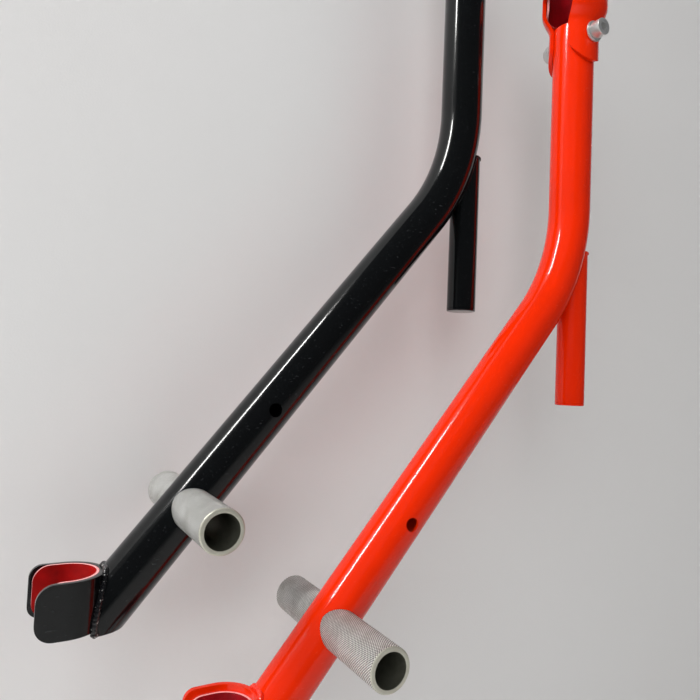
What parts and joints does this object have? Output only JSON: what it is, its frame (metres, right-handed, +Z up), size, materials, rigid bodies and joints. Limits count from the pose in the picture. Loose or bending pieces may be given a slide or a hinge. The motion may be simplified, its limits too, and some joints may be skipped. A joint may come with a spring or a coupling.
{
  "type": "bicycle wall rack arm pair",
  "caption": "Swing arms of a bicycle wall rack: bent steel tubes with lined swivel sockets, knurled cross pegs and lined end cradles.",
  "frame": {"origin": "centre of the mouth of the black arm's socket, on the axis that the arm swings about", "axes": "+Z up along the post; -Y the way both arms reach at rest, along the wall; +X away from the wall, the long side of the pegs"},
  "size_m": [0.164, 0.3952, 0.6221],
  "materials": {
    "black_paint": "gloss",
    "red_paint": "gloss",
    "bright_red_liner": "satin",
    "crimson_liner": "satin",
    "knurled_steel": "satin",
    "zinc_plate": "satin",
    "nylon": "matte"
  },
  "bodies": {
    "bushes": {"black_socket_bush": "bright_red_liner", "red_socket_bush": "crimson_liner"},
    "black_arm": {"black_arm_tube": "black_paint", "black_stub": "black_paint", "black_stub_plug": "black_paint", "black_peg": "knurled_steel", "black_cradle": "black_paint", "black_cradle_liner": "bright_red_liner", "black_socket": "black_paint", "black_cap_screw": "zinc_plate", "black_head_washer": "zinc_plate", "black_nut_washer": "zinc_plate", "black_lock_nut": "zinc_plate", "black_nut_insert": "nylon", "black_crush_sleeve": "zinc_plate"},
    "red_arm": {"red_arm_tube": "red_paint", "red_stub": "red_paint", "red_stub_plug": "red_paint", "red_peg": "knurled_steel", "red_cradle": "red_paint", "red_cradle_liner": "crimson_liner", "red_socket": "red_paint", "red_cap_screw": "zinc_plate", "red_head_washer": "zinc_plate", "red_nut_washer": "zinc_plate", "red_lock_nut": "zinc_plate", "red_nut_insert": "nylon", "red_crush_sleeve": "zinc_plate"}
  },
  "joints": [
    {"name": "black_arm_swing", "type": "hinge", "parent": "bushes", "child": "black_arm", "pos_m": [0, 0, -0.015], "axis": [0, 0, 1], "range_deg": [0, 70]},
    {"name": "red_arm_swing", "type": "hinge", "parent": "bushes", "child": "red_arm", "pos_m": [0.037, 0.083, -0.0855], "axis": [0, 0, 1], "range_deg": [0, 70]}
  ]
}
